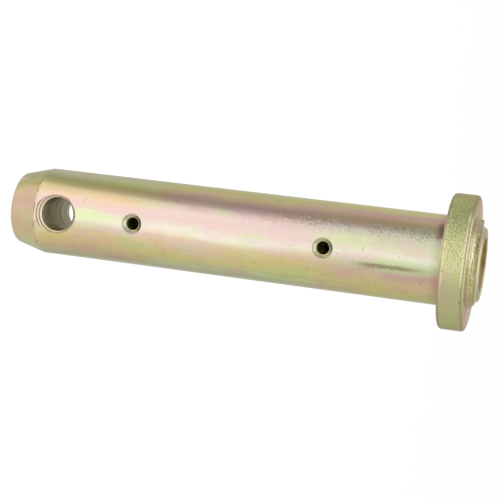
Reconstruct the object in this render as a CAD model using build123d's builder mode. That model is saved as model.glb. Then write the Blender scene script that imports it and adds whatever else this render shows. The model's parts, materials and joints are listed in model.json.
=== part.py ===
from build123d import *
import os
from math import cos, hypot, radians, sin, sqrt, tan

# Link pin for an excavator's bucket linkage, standing on its nose, in millimetres.
# The origin is the centre of the nose face and +Z runs along the pin to its head.
# The cross hole and the grease outlets face the front, -Y.

# Shank
pin_diameter = 45.0
under_head_length = 226.5
lead_in_length = 15.0
lead_in_drop = 4.15
nose_edge_radius = 1.6

# Centre hole left in the nose by turning between centres
centre_hole_diameter = 8.0
centre_pilot_diameter = 4.0
centre_pilot_depth = 8.0
centre_hole_angle = 60.0

# Cross hole for the keeper bolt, with a countersink cut in steps at both mouths
cross_hole_diameter = 17.5
cross_hole_height = 26.5
countersink_rings = 3
countersink_ring_width = 0.95
countersink_step = 0.65

# Collar, a separate plate bored to slip over the spigot
collar_diameter = 67.5
collar_thickness = 13.0
collar_edge_radius = 1.9
collar_bore_clearance = 0.05
collar_bore_chamfer = 0.8

# Spigot, the turned-down end of the shank that stands out of the collar
spigot_diameter = 37.5
spigot_stand_out = 4.8
spigot_wall = 5.0
spigot_rim_radius = 1.6
recess_rim_chamfer = 0.3

# Fillet weld, laid in even ripples between the collar's face and the spigot
weld_leg_on_collar = 4.4
weld_leg_on_spigot = 3.2
weld_face_radius = 7.4
weld_ripples = 48
weld_fusion_gap = 0.02

# Spatter beads: angle from +X, distance out from the spigot, height over the collar, radius
spatter_beads = [(175.0, 2.2, 2.0, 1.0), (56.0, 0.45, 3.6, 1.0)]

# Recess and the tapped hole in its floor
nipple_cover = 4.1
recess_corner_radius = 2.0
tapped_hole_run_out = 3.0
tapped_hole_chamfer = 0.6
drill_point_angle = 118.0

# Gallery along the axis and the two outlets that it feeds
gallery_diameter = 6.0
gallery_overrun = 4.0
outlet_diameter = 6.5
outlet_countersink_diameter = 10.2
countersink_angle = 90.0
lower_outlet_height = 68.9
outlet_spacing = 99.3

# Grease nipple, straight, with a hexagon
nipple_thread_diameter = 10.0
nipple_thread_clearance = 0.05
nipple_thread_length = 6.0
nipple_thread_chamfer = 0.6
nipple_across_flats = 11.0
nipple_hex_height = 4.0
nipple_hex_chamfer = 0.5
nipple_shoulder_diameter = 8.4
nipple_shoulder_height = 0.8
nipple_neck_diameter = 4.9
nipple_neck_taper_height = 1.7
nipple_neck_height = 1.5
nipple_head_diameter = 6.6
nipple_head_band = 0.6
nipple_tip_diameter = 3.6
nipple_tip_height = 2.55
nipple_mouth_diameter = 1.5
nipple_mouth_land = 0.25
nipple_lip_thickness = 0.8
nipple_lip_diameter = 1.6

# Check ball and its spring
ball_diameter = 2.5
ball_side_clearance = 0.2
ball_seat_clearance = 0.02
spring_mean_diameter = 2.0
spring_wire_diameter = 0.4
spring_coils = 8
spring_clearance = 0.02

# Radii and heights that follow from the sizes above
pin_radius = pin_diameter / 2
nose_radius = pin_radius - lead_in_drop
spigot_radius = spigot_diameter / 2
collar_face = under_head_length + collar_thickness
spigot_rim = collar_face + spigot_stand_out
recess_radius = spigot_radius - spigot_wall
nipple_head_drop = (nipple_head_diameter - nipple_neck_diameter) / 2
neck_start = nipple_hex_height + nipple_shoulder_height + nipple_neck_taper_height
head_start = neck_start + nipple_neck_height + nipple_head_drop
nipple_height = head_start + nipple_head_band + nipple_tip_height
nipple_seat = spigot_rim - nipple_cover - nipple_height
nipple_tip = nipple_seat + nipple_height
nipple_foot = nipple_seat - nipple_thread_length
tapped_hole_radius = nipple_thread_diameter / 2 + nipple_thread_clearance
gallery_radius = gallery_diameter / 2
gallery_end = lower_outlet_height - gallery_overrun
outlet_heights = [lower_outlet_height, lower_outlet_height + outlet_spacing]
ball_radius = ball_diameter / 2
chamber_radius = ball_radius + ball_side_clearance
mouth_radius = nipple_mouth_diameter / 2
seat_start = nipple_tip - nipple_mouth_land
ball_height = seat_start + mouth_radius - (ball_radius + ball_seat_clearance) * sqrt(2)


def drill_point(radius):
    """Height of the cone that a twist drill leaves under a hole of this radius."""
    return radius / tan(radians(drill_point_angle / 2))


def countersink_profile():
    """Half section of one mouth of the cross hole, as (distance from its axis, distance from the pin's)."""
    radius = cross_hole_diameter / 2 + countersink_rings * countersink_ring_width
    height = pin_radius
    points = [(radius + countersink_ring_width, height + countersink_ring_width)]
    for ring in range(countersink_rings):
        radius -= countersink_ring_width
        height -= countersink_ring_width
        points.append((radius, height))
        if ring < countersink_rings - 1:
            height -= countersink_step
            points.append((radius, height))
    return points


# Shaft: shank, lead-in, spigot, and every hole that is cut in them
with BuildPart() as pin_shaft:
    with BuildSketch(Plane.XZ):
        with BuildLine():
            Polyline(
                (0, 0),
                (nose_radius, 0),
                (pin_radius, lead_in_length),
                (pin_radius, under_head_length),
                (spigot_radius, under_head_length),
                (spigot_radius, spigot_rim),
                (0, spigot_rim),
                close=True,
            )
        make_face()
    revolve(axis=Axis.Z)
    fillet(pin_shaft.edges().group_by(Axis.Z)[0], radius=nose_edge_radius)

    # Recess, tapped hole and gallery, bored from the head in one line
    with BuildSketch(Plane.XZ):
        with BuildLine():
            tapped_end = nipple_foot - tapped_hole_run_out
            gallery_start = tapped_end - drill_point(tapped_hole_radius - gallery_radius)
            mouth = Line((0, spigot_rim), (recess_radius, spigot_rim))
            Line(mouth @ 1, (recess_radius, nipple_seat + recess_corner_radius))
            TangentArc(
                (recess_radius, nipple_seat + recess_corner_radius),
                (recess_radius - recess_corner_radius, nipple_seat),
                tangent=(0, -1),
            )
            Polyline(
                (recess_radius - recess_corner_radius, nipple_seat),
                (tapped_hole_radius + tapped_hole_chamfer, nipple_seat),
                (tapped_hole_radius, nipple_seat - tapped_hole_chamfer),
                (tapped_hole_radius, tapped_end),
                (gallery_radius, gallery_start),
                (gallery_radius, gallery_end),
                (0, gallery_end - drill_point(gallery_radius)),
                (0, spigot_rim),
            )
        make_face()
    revolve(axis=Axis.Z, mode=Mode.SUBTRACT)
    fillet(pin_shaft.edges().group_by(Axis.Z)[-1].sort_by(SortBy.RADIUS)[-1], radius=spigot_rim_radius)
    chamfer(pin_shaft.edges().group_by(Axis.Z)[-1].sort_by(SortBy.RADIUS)[0], length=recess_rim_chamfer)

    # Cross hole with both stepped countersinks
    cross_hole_plane = Plane(origin=(0, 0, cross_hole_height), x_dir=(0, 0, 1), z_dir=(1, 0, 0))
    with BuildSketch(cross_hole_plane):
        with BuildLine():
            front = countersink_profile()
            back = [(radius, -height) for radius, height in reversed(front)]
            Polyline((0, front[0][1]), *front, *back, (0, back[-1][1]), close=True)
        make_face()
    revolve(axis=Axis((0, 0, cross_hole_height), (0, 1, 0)), mode=Mode.SUBTRACT)

    # Grease outlets, drilled from the front to the gallery
    with Locations(*[Plane((0, -pin_radius, height), z_dir=(0, -1, 0)) for height in outlet_heights]):
        CounterSinkHole(
            radius=outlet_diameter / 2,
            counter_sink_radius=outlet_countersink_diameter / 2,
            depth=pin_radius,
            counter_sink_angle=countersink_angle,
        )

    # Centre hole
    with Locations(Plane((0, 0, 0), z_dir=(0, 0, -1))):
        CounterSinkHole(
            radius=centre_pilot_diameter / 2,
            counter_sink_radius=centre_hole_diameter / 2,
            depth=centre_pilot_depth,
            counter_sink_angle=centre_hole_angle,
        )
pin_shaft.part.label = "pin_shaft"

# Collar, resting on the shoulder of the shank
with BuildPart() as head_collar:
    with BuildSketch(Plane.XY.offset(under_head_length)):
        Circle(collar_diameter / 2)
    extrude(amount=collar_thickness)
    fillet(head_collar.edges(), radius=collar_edge_radius)
    with BuildSketch(Plane.XY.offset(under_head_length)):
        Circle(spigot_radius + collar_bore_clearance)
    extrude(amount=collar_thickness, mode=Mode.SUBTRACT)
    chamfer(head_collar.edges().group_by(Axis.Z)[0].sort_by(SortBy.RADIUS)[0], length=collar_bore_chamfer)
head_collar.part.label = "head_collar"

# One ripple of the weld: a wedge of the bead, with a ball-shaped face through its two toes
weld_inner_radius = spigot_radius + weld_fusion_gap
weld_toe_radius = weld_inner_radius + weld_leg_on_collar
weld_chord = hypot(weld_leg_on_collar, weld_leg_on_spigot)
weld_sink = sqrt(weld_face_radius**2 - (weld_chord / 2) ** 2) / weld_chord
weld_centre_radius = (weld_inner_radius + weld_toe_radius) / 2 - weld_sink * weld_leg_on_spigot
weld_centre_height = collar_face + weld_leg_on_spigot / 2 - weld_sink * weld_leg_on_collar
ripple_angle = 360 / weld_ripples
with BuildPart() as weld_ripple:
    with BuildSketch(Plane.XZ.rotated((0, 0, -ripple_angle / 2))):
        with Locations((weld_inner_radius, collar_face)):
            Rectangle(2 * weld_leg_on_collar, 2 * weld_leg_on_spigot, align=(Align.MIN, Align.MIN))
    revolve(axis=Axis.Z, revolution_arc=ripple_angle)
    with Locations((weld_centre_radius, 0, weld_centre_height)):
        Sphere(weld_face_radius, mode=Mode.INTERSECT)

# Weld, the ripples all round with two beads of spatter
with BuildPart() as head_weld:
    with PolarLocations(0, weld_ripples):
        add(weld_ripple.part)
    for angle, distance, height, radius in spatter_beads:
        reach = spigot_radius + distance
        with Locations((reach * cos(radians(angle)), reach * sin(radians(angle)), collar_face + height)):
            Sphere(radius)
    with BuildSketch(Plane.XY.offset(collar_face)):
        Circle(weld_inner_radius)
    extrude(amount=collar_thickness, mode=Mode.SUBTRACT)
head_weld.part.label = "head_weld"

# Grease nipple, screwed down on the recess floor
with BuildPart() as grease_nipple_body:
    with BuildSketch(Plane.XY.offset(nipple_seat)):
        RegularPolygon(nipple_across_flats / 2, 6, major_radius=False)
    extrude(amount=nipple_hex_height)

    # Turned chamfer over the corners of the hexagon
    with BuildSketch(Plane.XZ):
        with BuildLine():
            corner_radius = nipple_across_flats / sqrt(3)
            flat_radius = nipple_across_flats / 2
            hex_top = nipple_seat + nipple_hex_height
            Polyline(
                (0, nipple_seat),
                (corner_radius, nipple_seat),
                (corner_radius, hex_top - nipple_hex_chamfer),
                (flat_radius - nipple_hex_chamfer / 2, hex_top),
                (0, hex_top),
                close=True,
            )
        make_face()
    revolve(axis=Axis.Z, mode=Mode.INTERSECT)

    # Threaded shank below the seat, then shoulder, neck and head above the hexagon
    with BuildSketch(Plane.XZ):
        with BuildLine():
            thread_radius = nipple_thread_diameter / 2
            shoulder_top = hex_top + nipple_shoulder_height
            Polyline(
                (0, nipple_foot),
                (thread_radius - nipple_thread_chamfer, nipple_foot),
                (thread_radius, nipple_foot + nipple_thread_chamfer),
                (thread_radius, nipple_seat + nipple_hex_height / 2),
                (nipple_shoulder_diameter / 2, nipple_seat + nipple_hex_height / 2),
                (nipple_shoulder_diameter / 2, shoulder_top),
                (nipple_neck_diameter / 2, nipple_seat + neck_start),
                (nipple_neck_diameter / 2, nipple_seat + neck_start + nipple_neck_height),
                (nipple_head_diameter / 2, nipple_seat + head_start),
                (nipple_head_diameter / 2, nipple_seat + head_start + nipple_head_band),
                (nipple_tip_diameter / 2, nipple_tip),
                (0, nipple_tip),
                close=True,
            )
        make_face()
    revolve(axis=Axis.Z)

    # Chamber for the ball and spring, between the conical seat and the rolled lip
    with BuildSketch(Plane.XZ):
        with BuildLine():
            chamber_foot = nipple_foot + nipple_lip_thickness
            Polyline(
                (0, nipple_foot),
                (nipple_lip_diameter / 2, nipple_foot),
                (nipple_lip_diameter / 2, chamber_foot),
                (chamber_radius, chamber_foot),
                (chamber_radius, seat_start - (chamber_radius - mouth_radius)),
                (mouth_radius, seat_start),
                (mouth_radius, nipple_tip),
                (0, nipple_tip),
                close=True,
            )
        make_face()
    revolve(axis=Axis.Z, mode=Mode.SUBTRACT)
grease_nipple_body.part.label = "grease_nipple_body"

# Check ball, held up against the seat
with BuildPart() as nipple_check_ball:
    with Locations((0, 0, ball_height)):
        Sphere(ball_radius)
nipple_check_ball.part.label = "nipple_check_ball"

# Spring with ground ends, from the rolled lip up to the ball
spring_radius = spring_mean_diameter / 2
wire_radius = spring_wire_diameter / 2
spring_inner_radius = spring_radius - wire_radius
spring_top = ball_height - sqrt(ball_radius**2 - spring_inner_radius**2) - spring_clearance
spring_length = spring_top - chamber_foot
with BuildPart() as nipple_spring:
    with BuildLine(Plane.XY.offset(chamber_foot)):
        coil = Helix(pitch=spring_length / spring_coils, height=spring_length, radius=spring_radius)
    with BuildSketch(Plane(coil @ 0, z_dir=coil % 0)):
        Circle(wire_radius)
    sweep(is_frenet=True)
    with BuildSketch(Plane.XY.offset(chamber_foot)):
        Circle(chamber_radius)
    extrude(amount=spring_length, mode=Mode.INTERSECT)
nipple_spring.part.label = "nipple_spring"

os.makedirs("parts", exist_ok=True)
for piece in (pin_shaft, head_collar, head_weld, grease_nipple_body, nipple_check_ball, nipple_spring):
    export_step(piece.part, f"parts/{piece.part.label}.step")
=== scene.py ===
import json
from math import atan2, cos, exp, hypot, pi, radians, sin, sqrt

import bmesh
import bpy
from mathutils import Matrix, Vector, noise


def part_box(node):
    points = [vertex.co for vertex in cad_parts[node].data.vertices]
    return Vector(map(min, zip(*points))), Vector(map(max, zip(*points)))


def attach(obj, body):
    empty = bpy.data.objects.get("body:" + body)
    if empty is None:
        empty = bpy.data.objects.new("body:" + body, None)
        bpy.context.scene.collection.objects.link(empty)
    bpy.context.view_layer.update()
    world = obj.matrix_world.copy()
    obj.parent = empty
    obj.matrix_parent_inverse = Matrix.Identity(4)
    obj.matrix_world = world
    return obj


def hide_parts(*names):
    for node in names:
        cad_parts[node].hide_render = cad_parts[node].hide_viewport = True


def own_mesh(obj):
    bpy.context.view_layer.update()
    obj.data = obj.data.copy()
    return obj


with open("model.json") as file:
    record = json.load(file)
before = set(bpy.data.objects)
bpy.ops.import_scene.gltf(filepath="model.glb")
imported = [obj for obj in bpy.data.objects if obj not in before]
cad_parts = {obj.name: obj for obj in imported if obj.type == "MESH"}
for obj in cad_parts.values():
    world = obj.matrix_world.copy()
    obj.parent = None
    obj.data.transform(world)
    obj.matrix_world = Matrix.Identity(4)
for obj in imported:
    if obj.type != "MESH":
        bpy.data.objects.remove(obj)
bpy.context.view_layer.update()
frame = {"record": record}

MM = 0.001

# Camera, placed where the photograph was taken from: above and beyond the head, rolled on its side
CAMERA_PLACE = Vector((-0.0463, -0.6618, 0.2981))
CAMERA_TARGET = Vector((0.0073, 0.0, 0.1262))
CAMERA_TOP = Vector((-0.9911, 0.0480, -0.1241))
FIELD_OF_VIEW = 21.17       # degrees

# The side of the pin that the photograph shows, as an angle from +X. Bearings are turned from it.
FACING = -94.0

# Places on the pin, from the frame
collar_low, collar_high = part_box("head_collar")
spring_low, spring_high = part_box("nipple_spring")
mounts = {mount["name"]: mount for mount in frame["record"]["mounts"]}
HOLE_HEIGHT = mounts["cross_hole"]["pos_m"][2]
HOLE_RADIUS = mounts["cross_hole"]["dims"]["r_mm"] * MM
SHANK_RADIUS = mounts["shank"]["dims"]["r_mm"] * MM
COLLAR_RADIUS = (collar_high[0] - collar_low[0]) / 2
COLLAR_FOOT = collar_low[2]
COLLAR_FACE = collar_high[2]
COLLAR_MIDDLE = (COLLAR_FOOT + COLLAR_FACE) / 2

# Sizes that the frame doesn't give
LEAD_IN_TOP = 15.0 * MM
BORE_START = 18.35 * MM     # distance from the pin's axis where the cross hole's plain wall starts
RING_WIDTH = 0.95 * MM      # of each step of the cross hole's countersinks
RINGS = 3
OUTLET_HEIGHTS = (68.9 * MM, 168.2 * MM)
OUTLET_RADIUS = 3.25 * MM
OUTLET_RING = 4.95 * MM     # radius of the countersink's outer edge
COLLAR_EDGE = 1.9 * MM      # radius of the collar's rounded edges
SPIGOT_RADIUS = 18.75 * MM
SPIGOT_HEIGHT = 4.8 * MM    # above the collar
SPIGOT_RIM_RADIUS = 1.6 * MM
SPIGOT_RIM_START = SPIGOT_HEIGHT - SPIGOT_RIM_RADIUS
RECESS_RADIUS = 13.75 * MM

# Colours of the chromate film, some of which also stand for painted highlight and painted shade
PEWTER = (0.80, 0.80, 0.48)
LEAF = (0.82, 0.93, 0.50)
MINT = (0.86, 0.96, 0.52)
WILLOW = (0.84, 0.83, 0.42)
LICHEN = (0.74, 0.78, 0.36)
OLIVE = (0.87, 0.83, 0.31)
MOSS = (0.66, 0.65, 0.28)
BOG = (0.58, 0.55, 0.20)
FERN = (0.76, 0.80, 0.35)
GRASS = (0.68, 0.84, 0.34)
DRAB = (0.76, 0.73, 0.37)
STRAW = (0.84, 0.81, 0.42)
BRASS = (0.86, 0.77, 0.42)
GOLD = (0.94, 0.77, 0.30)
CREAM = (0.95, 0.90, 0.74)
SAND = (0.88, 0.78, 0.53)
TAN = (0.92, 0.69, 0.39)
APRICOT = (0.97, 0.72, 0.43)
SALMON = (0.96, 0.64, 0.50)
CORAL = (0.93, 0.60, 0.46)
ROSE = (0.95, 0.71, 0.66)
MAUVE = (0.90, 0.58, 0.50)
UMBRA = (0.70, 0.53, 0.33)
CLAY = (0.62, 0.41, 0.20)
UMBER = (0.20, 0.15, 0.08)
WHITE = (1.0, 1.0, 1.0)


class Shader:
    """Adds nodes to a tree. Any input may be a number, a colour or another node's output."""

    def __init__(self, tree):
        self.tree = tree

    def add(self, kind, inputs=(), **settings):
        node = self.tree.nodes.new(kind)
        for name, value in settings.items():
            setattr(node, name, value)
        for name, value in dict(inputs).items():
            self.feed(node.inputs[name], value)
        return node

    def feed(self, socket, value):
        if isinstance(value, bpy.types.NodeSocket):
            self.tree.links.new(value, socket)
        elif isinstance(value, tuple) and socket.type == "RGBA":
            socket.default_value = (*value, 1.0)
        else:
            socket.default_value = value

    def math(self, operation, first, second=0.0, third=0.0):
        node = self.add("ShaderNodeMath", {0: first, 1: second, 2: third}, operation=operation)
        return node.outputs[0]

    def times(self, first, *others):
        for other in others:
            first = self.math("MULTIPLY", first, other)
        return first

    def scaled(self, value, factor, offset):
        return self.math("MULTIPLY_ADD", value, factor, offset)

    def distance(self, first, second):
        return self.math("SQRT", self.math("ADD", self.times(first, first), self.times(second, second)))

    def band(self, value, low, high):
        """0 where value is at low, 1 where it is at high, smooth between."""
        node = self.add(
            "ShaderNodeMapRange",
            {"Value": value, "From Min": low, "From Max": high},
            interpolation_type="SMOOTHSTEP",
        )
        return node.outputs["Result"]

    def near(self, value, centre, outer, inner):
        """1 where value is within inner of centre, 0 where it is outer or more from it."""
        away = self.math("ABSOLUTE", self.math("SUBTRACT", value, centre))
        return self.band(away, outer, inner)

    def mix(self, factor, first, second, blend="MIX"):
        node = self.add("ShaderNodeMix", data_type="RGBA", blend_type=blend, clamp_factor=True)
        self.feed(node.inputs[0], factor)
        self.feed(node.inputs[6], first)
        self.feed(node.inputs[7], second)
        return node.outputs[2]

    def tint(self, colour, target, *shares):
        """colour, moved towards target by the product of the shares."""
        return self.mix(self.times(*shares), colour, target)

    def shaded(self, colour, level):
        """colour, made lighter or darker by a grey level."""
        grey = self.add("ShaderNodeCombineColor", {0: level, 1: level, 2: level}).outputs[0]
        return self.mix(1.0, colour, grey, "MULTIPLY")

    def ramp(self, value, stops, interpolation="EASE"):
        """Colours or grey levels along value, given as (position, colour) stops."""
        node = self.add("ShaderNodeValToRGB", {"Fac": value})
        node.color_ramp.interpolation = interpolation
        elements = node.color_ramp.elements
        while len(elements) < len(stops):
            elements.new(0.5)
        for element, (position, colour) in zip(elements, stops):
            element.position = position
            element.color = (*colour, 1.0) if isinstance(colour, tuple) else (colour, colour, colour, 1.0)
        return node.outputs["Color"]

    def by_bearing(self, turn, stops, interpolation="LINEAR"):
        """Colours or grey levels round the pin, given as (bearing, colour) stops."""
        along = self.math("DIVIDE", self.math("ADD", turn, 180.0), 360.0)
        return self.ramp(along, around(stops), interpolation)

    def noise(self, vector, scale, detail=2.0, roughness=0.5, distortion=0.0, squeeze=None):
        """Noise, drawn out along an axis by a squeeze below 1 there."""
        if squeeze:
            vector = self.add("ShaderNodeMapping", {"Vector": vector, "Scale": squeeze}).outputs["Vector"]
        inputs = {"Scale": scale, "Detail": detail, "Roughness": roughness, "Distortion": distortion}
        return self.add("ShaderNodeTexNoise", {"Vector": vector, **inputs}).outputs["Fac"]

    def bump(self, height, distance, strength=1.0, normal=None):
        node = self.add("ShaderNodeBump", {"Height": height, "Distance": distance, "Strength": strength})
        if normal is not None:
            self.feed(node.inputs["Normal"], normal)
        return node.outputs["Normal"]

    def split(self, vector):
        node = self.add("ShaderNodeSeparateXYZ", {"Vector": vector})
        return node.outputs["X"], node.outputs["Y"], node.outputs["Z"]

    def bearing(self, x, y, drift=0.0):
        """Turn about Z from the side that the photograph shows, in degrees from -180 to 180."""
        angle = self.math("ARCTAN2", y, x)
        turned = self.math("SUBTRACT", self.math("DEGREES", angle), FACING)
        return self.math("WRAP", self.math("ADD", turned, drift), 180.0, -180.0)


class Spot:
    """The point that is being shaded, in the pin's own frame."""

    def __init__(self, shader):
        self.place = shader.add("ShaderNodeTexCoord").outputs["Object"]
        self.x, self.y, self.z = shader.split(self.place)
        self.front = shader.times(self.y, -1.0)
        self.out = shader.distance(self.x, self.y)    # from the pin's axis
        self.turn = shader.bearing(self.x, self.y)


def metal(name):
    """A new bare-metal material: its shader tools, its point and its Principled node."""
    material = bpy.data.materials.new(name)
    material.use_nodes = True
    shader = Shader(material.node_tree)
    surface = material.node_tree.nodes["Principled BSDF"]
    surface.inputs["Metallic"].default_value = 1.0
    return material, shader, Spot(shader), surface


def between(first, second, share):
    """A colour or a level part of the way from first to second."""
    if isinstance(first, tuple):
        return tuple(between(one, other, share) for one, other in zip(first, second))
    return first + (second - first) * share


def around(stops):
    """Stops given at degrees of bearing, as positions from 0 to 1 that meet after a full turn."""
    (first, first_colour), (last, last_colour) = stops[0], stops[-1]
    meeting = between(last_colour, first_colour, (180.0 - last) / (first + 360.0 - last))
    stops = [(-180.0, meeting)] + stops + [(180.0, meeting)]
    return [((degrees + 180.0) / 360.0, colour) for degrees, colour in stops]


def dark_specks(shader, spot, colour, scale, rarity, strength):
    specks = shader.band(shader.noise(spot.place, scale, 1.0), rarity, 0.80)
    return shader.tint(colour, UMBER, specks, strength)


# The shank

# Its film by bearing: at the nose, in the middle, at the head and on the lead-in. The cream and rose about
# the front are partly a painted highlight, the mauve beside them partly painted shade, and the moss and
# bog on the lead-in painted shade
FILM_AND_LIGHT_AT_NOSE = [
    (-150.0, OLIVE), (-112.0, GOLD), (-66.0, PEWTER), (-50.0, OLIVE), (-38.0, TAN), (-28.0, APRICOT),
    (-12.0, ROSE), (4.0, CREAM), (18.0, ROSE), (34.0, GOLD), (50.0, TAN), (74.0, PEWTER),
    (104.0, ROSE), (130.0, GOLD), (160.0, LEAF),
]
FILM_AND_LIGHT_IN_MIDDLE = [
    (-150.0, GOLD), (-112.0, LEAF), (-84.0, PEWTER), (-66.0, OLIVE), (-52.0, TAN), (-38.0, MAUVE),
    (-25.0, ROSE), (-6.0, ROSE), (6.0, CREAM), (19.0, APRICOT), (31.0, GOLD), (46.0, OLIVE),
    (60.0, LEAF), (76.0, PEWTER), (100.0, GOLD), (124.0, ROSE), (150.0, MAUVE), (172.0, OLIVE),
]
FILM_AND_LIGHT_AT_HEAD = [
    (-150.0, ROSE), (-112.0, APRICOT), (-84.0, GOLD), (-66.0, OLIVE), (-52.0, MAUVE), (-36.0, TAN),
    (-24.0, CREAM), (-8.0, LEAF), (6.0, CREAM), (18.0, LEAF), (28.0, MAUVE), (42.0, APRICOT),
    (56.0, GOLD), (76.0, OLIVE), (100.0, LEAF), (124.0, GOLD), (150.0, TAN),
]
FILM_AND_SHADE_ON_LEAD_IN = [
    (-150.0, GOLD), (-90.0, TAN), (-56.0, MOSS), (-41.0, BOG), (-24.0, APRICOT), (6.0, APRICOT),
    (20.0, TAN), (34.0, TAN), (50.0, BRASS), (64.0, DRAB), (120.0, GOLD),
]

# Where things lie round it: bearing, half-width where they end, half-width of their full strength
BRIGHT_SIDE = (0.0, 50.0, 22.0)
WARM_SIDE = (48.0, 34.0, 14.0)
GRIT_STRIP = (-29.0, 14.0, 4.0)
SHADE_BLOT = (-38.0, 18.0, 8.0)
DARK_LINE = (12.5, 4.2, 0.8)
UPPER_SIDE = (-5.0, -20.0)  # bearings between which it starts
RUN_WIDTH = 24.0            # half of the green run's width, in degrees, at the nose
RUN_TAPER = -260.0          # change of it for each metre towards the head

# Heights between which things fade in along it
MIDDLE_ZONE = (62.0 * MM, 90.0 * MM)
HEAD_ZONE = (150.0 * MM, 192.0 * MM)
FEWER_CLOUDS = (90.0 * MM, 45.0 * MM)
RUN_START = (33.0 * MM, 38.0 * MM)
RUN_END = (82.0 * MM, 48.0 * MM)
CLEARER_MARKS = (120.0 * MM, 200.0 * MM)
GRIT_START = (85.0 * MM, 105.0 * MM)
MORE_GRIT = (95.0 * MM, 165.0 * MM)
DULLER_GRIT = (165.0 * MM, 195.0 * MM)
DARK_LINE_START = (180.0 * MM, 194.0 * MM)
DARK_LINE_END = (224.0 * MM, 206.0 * MM)
NOSE_EDGE = (1.4 * MM, 0.4 * MM)

# Depths between which things fade in inside the cross hole, along Y
FAR_HALF = (-6.0 * MM, 16.0 * MM)
NEAR_MOUTH = (-11.0 * MM, -17.0 * MM)
CLEARER_RINGS = (-12.0 * MM, 4.0 * MM)

DIRT = (0.36, 0.34, 0.18)
DARK_LINE_COLOUR = (0.36, 0.32, 0.18)
GRIT_SHADE = (0.46, 0.36, 0.25)
GLINT = (1.0, 0.97, 0.80)
COLLAR_SHADE = (0.34, 0.17, 0.15)
DULL_NOSE = (0.44, 0.46, 0.30)
RIM_SHADE_BROWN = (0.52, 0.42, 0.20)
RIM_SHADE_GOLD = (0.70, 0.60, 0.32)
RIM_EDGE_HIGHLIGHT = (1.0, 0.90, 0.56)
RECESS_SHADE_BROWN = (0.36, 0.28, 0.09)
RECESS_SHADE_GOLD = (0.54, 0.45, 0.19)
RECESS_DEEP_LIGHT = (0.86, 0.70, 0.34)
RECESS_LIGHT = (0.86, 0.75, 0.46)
OUTLET_CONE_LIGHT = (0.86, 0.84, 0.56)
OUTLET_EDGE_SHADE = (0.36, 0.35, 0.18)
HOLE_SHADE_DARK = (0.14, 0.11, 0.02)
HOLE_SHADE_BROWN = (0.36, 0.31, 0.08)
HOLE_FAR_LIGHT = (0.52, 0.53, 0.34)
HOLE_MOUTH_LIGHT = (0.50, 0.44, 0.18)
HOLE_SHADE_MOTTLE = (0.24, 0.19, 0.06)
SUNK_LIGHT = (0.98, 0.84, 0.64)
SUNK_SHADE = (0.52, 0.42, 0.28)
GROOVE_SHADE = (0.40, 0.26, 0.13)


def film_and_light_bands(shader, spot, turn):
    """Long bands of colour round the pin, other ones at the nose, in the middle and at the head: film
    tones, with a painted highlight in front and painted shade beside it.
    """
    colour = shader.by_bearing(turn, FILM_AND_LIGHT_AT_NOSE)
    middle = shader.band(spot.z, *MIDDLE_ZONE)
    colour = shader.tint(colour, shader.by_bearing(turn, FILM_AND_LIGHT_IN_MIDDLE), middle)
    head = shader.band(spot.z, *HEAD_ZONE)
    return shader.tint(colour, shader.by_bearing(turn, FILM_AND_LIGHT_AT_HEAD), head)


def pink_and_green_clouds(shader, spot, turn, colour):
    """Clouds drawn out along the pin, and thinner ones among them, strongest on the bright side."""
    bright_side = shader.near(turn, *BRIGHT_SIDE)
    strength = shader.scaled(bright_side, 0.50, 0.22)
    cloud = shader.noise(spot.place, 95.0, 3.0, 0.45, 0.3, squeeze=(1.0, 1.0, 0.35))
    at_nose = shader.times(shader.band(spot.z, *FEWER_CLOUDS), shader.band(turn, *UPPER_SIDE))
    less_at_nose = shader.scaled(at_nose, -0.8, 1.0)
    colour = shader.tint(colour, LEAF, shader.band(cloud, 0.48, 0.74), strength, less_at_nose)
    colour = shader.tint(colour, ROSE, shader.band(cloud, 0.52, 0.28), strength)
    thin = shader.noise(spot.place, 340.0, 4.0, 0.6, 0.5, squeeze=(1.0, 1.0, 0.20))
    strength = shader.scaled(bright_side, 0.18, 0.08)
    colour = shader.tint(colour, LEAF, shader.band(thin, 0.52, 0.66), strength)
    return shader.tint(colour, ROSE, shader.band(thin, 0.48, 0.34), strength)


def warm_clouds(shader, spot, turn, colour):
    """Orange and green clouds on the side below the bright one."""
    warm_side = shader.near(turn, *WARM_SIDE)
    cloud = shader.noise(spot.place, 110.0, 3.0, 0.5, 0.4, squeeze=(1.0, 1.0, 0.45))
    colour = shader.tint(colour, CORAL, shader.band(cloud, 0.50, 0.66), warm_side, 0.5)
    return shader.tint(colour, LICHEN, shader.band(cloud, 0.46, 0.34), warm_side, 0.6)


def green_run(shader, spot, turn, colour):
    """A pale green run beside the cross hole, narrowing towards the head."""
    width = shader.scaled(spot.z, RUN_TAPER, RUN_WIDTH)
    across = shader.math("DIVIDE", shader.math("ABSOLUTE", turn), width)
    threads = shader.noise(spot.place, 420.0, 2.0, squeeze=(1.0, 1.0, 0.05))
    run = shader.times(
        shader.band(across, 1.0, 0.5),
        shader.band(spot.z, *RUN_START),
        shader.band(spot.z, *RUN_END),
        shader.scaled(threads, 2.4, -0.4),
    )
    return shader.tint(colour, MINT, shader.math("MINIMUM", run, 0.8))


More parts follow.
